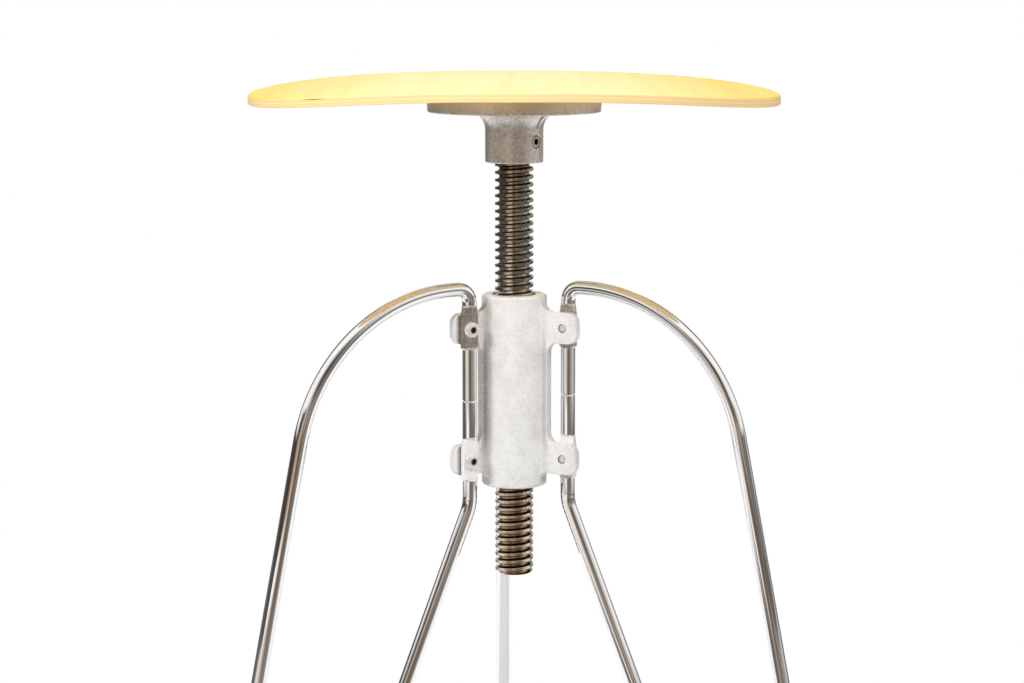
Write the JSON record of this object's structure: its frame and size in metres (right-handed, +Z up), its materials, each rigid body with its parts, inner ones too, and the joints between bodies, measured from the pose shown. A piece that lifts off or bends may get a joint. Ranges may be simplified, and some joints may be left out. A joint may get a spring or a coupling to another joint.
{
  "type": "adjustable screw stool",
  "caption": "Bar stool with a round moulded-plywood seat on a cast flange and coarse spindle that screws through a cast hub; bent-rod loop legs. Turning the seat sets its height.",
  "frame": {"origin": "on the floor, under the middle of the stool's box at its stored seat height", "axes": "+Z up, along the spindle; -Y is the picture's viewing side; the rear leg points along +Y"},
  "size_m": [0.4534, 0.4336, 0.7201],
  "materials": {
    "plywood": "clear lacquered pale veneer, plies showing at the edge",
    "flange_casting": "tumbled sand casting",
    "hub_casting": "tumbled sand casting",
    "spindle_steel": "dark oiled steel, bright on the crests",
    "black_steel": "black oxide",
    "zinc_steel": "zinc plated",
    "chrome_rod": "polished chrome plate, duller on the pressed flats",
    "nickel_steel": "bright nickel plate",
    "white_nylon": "plain",
    "black_plastic": "moulded, fine grain"
  },
  "bodies": {
    "base": {"hub": "hub_casting", "leg_loop_rear": "chrome_rod", "leg_loop_left": "chrome_rod", "leg_loop_right": "chrome_rod", "leg_screw_rear_upper": "nickel_steel", "leg_screw_rear_lower": "nickel_steel", "leg_screw_left_upper": "nickel_steel", "leg_screw_left_lower": "nickel_steel", "leg_screw_right_upper": "nickel_steel", "leg_screw_right_lower": "nickel_steel", "foot_glide_rear": "black_plastic", "foot_glide_left": "black_plastic", "foot_glide_right": "black_plastic"},
    "screw_follower": {"spindle_pad": "white_nylon"},
    "seat_assembly": {"seat": "plywood", "seat_flange": "flange_casting", "seat_screw_1": "zinc_steel", "seat_screw_2": "zinc_steel", "seat_screw_3": "zinc_steel", "seat_screw_4": "zinc_steel", "set_screw": "black_steel", "spindle": "spindle_steel"}
  },
  "joints": [
    {"name": "screw_lift", "type": "slide", "parent": "base", "child": "screw_follower", "axis": [0, 0, 1], "range_m": [-0.0839, 0.0915]},
    {"name": "seat_spin", "type": "hinge", "parent": "screw_follower", "child": "seat_assembly", "pos_m": [-0.0028, -0.04428, 0.5805], "axis": [0, 0, 1], "range_deg": [-5940, 6480]}
  ],
  "couplings": [
    {"joint": "screw_lift", "follows": "seat_spin", "m_per_rad": 0.00080851}
  ]
}
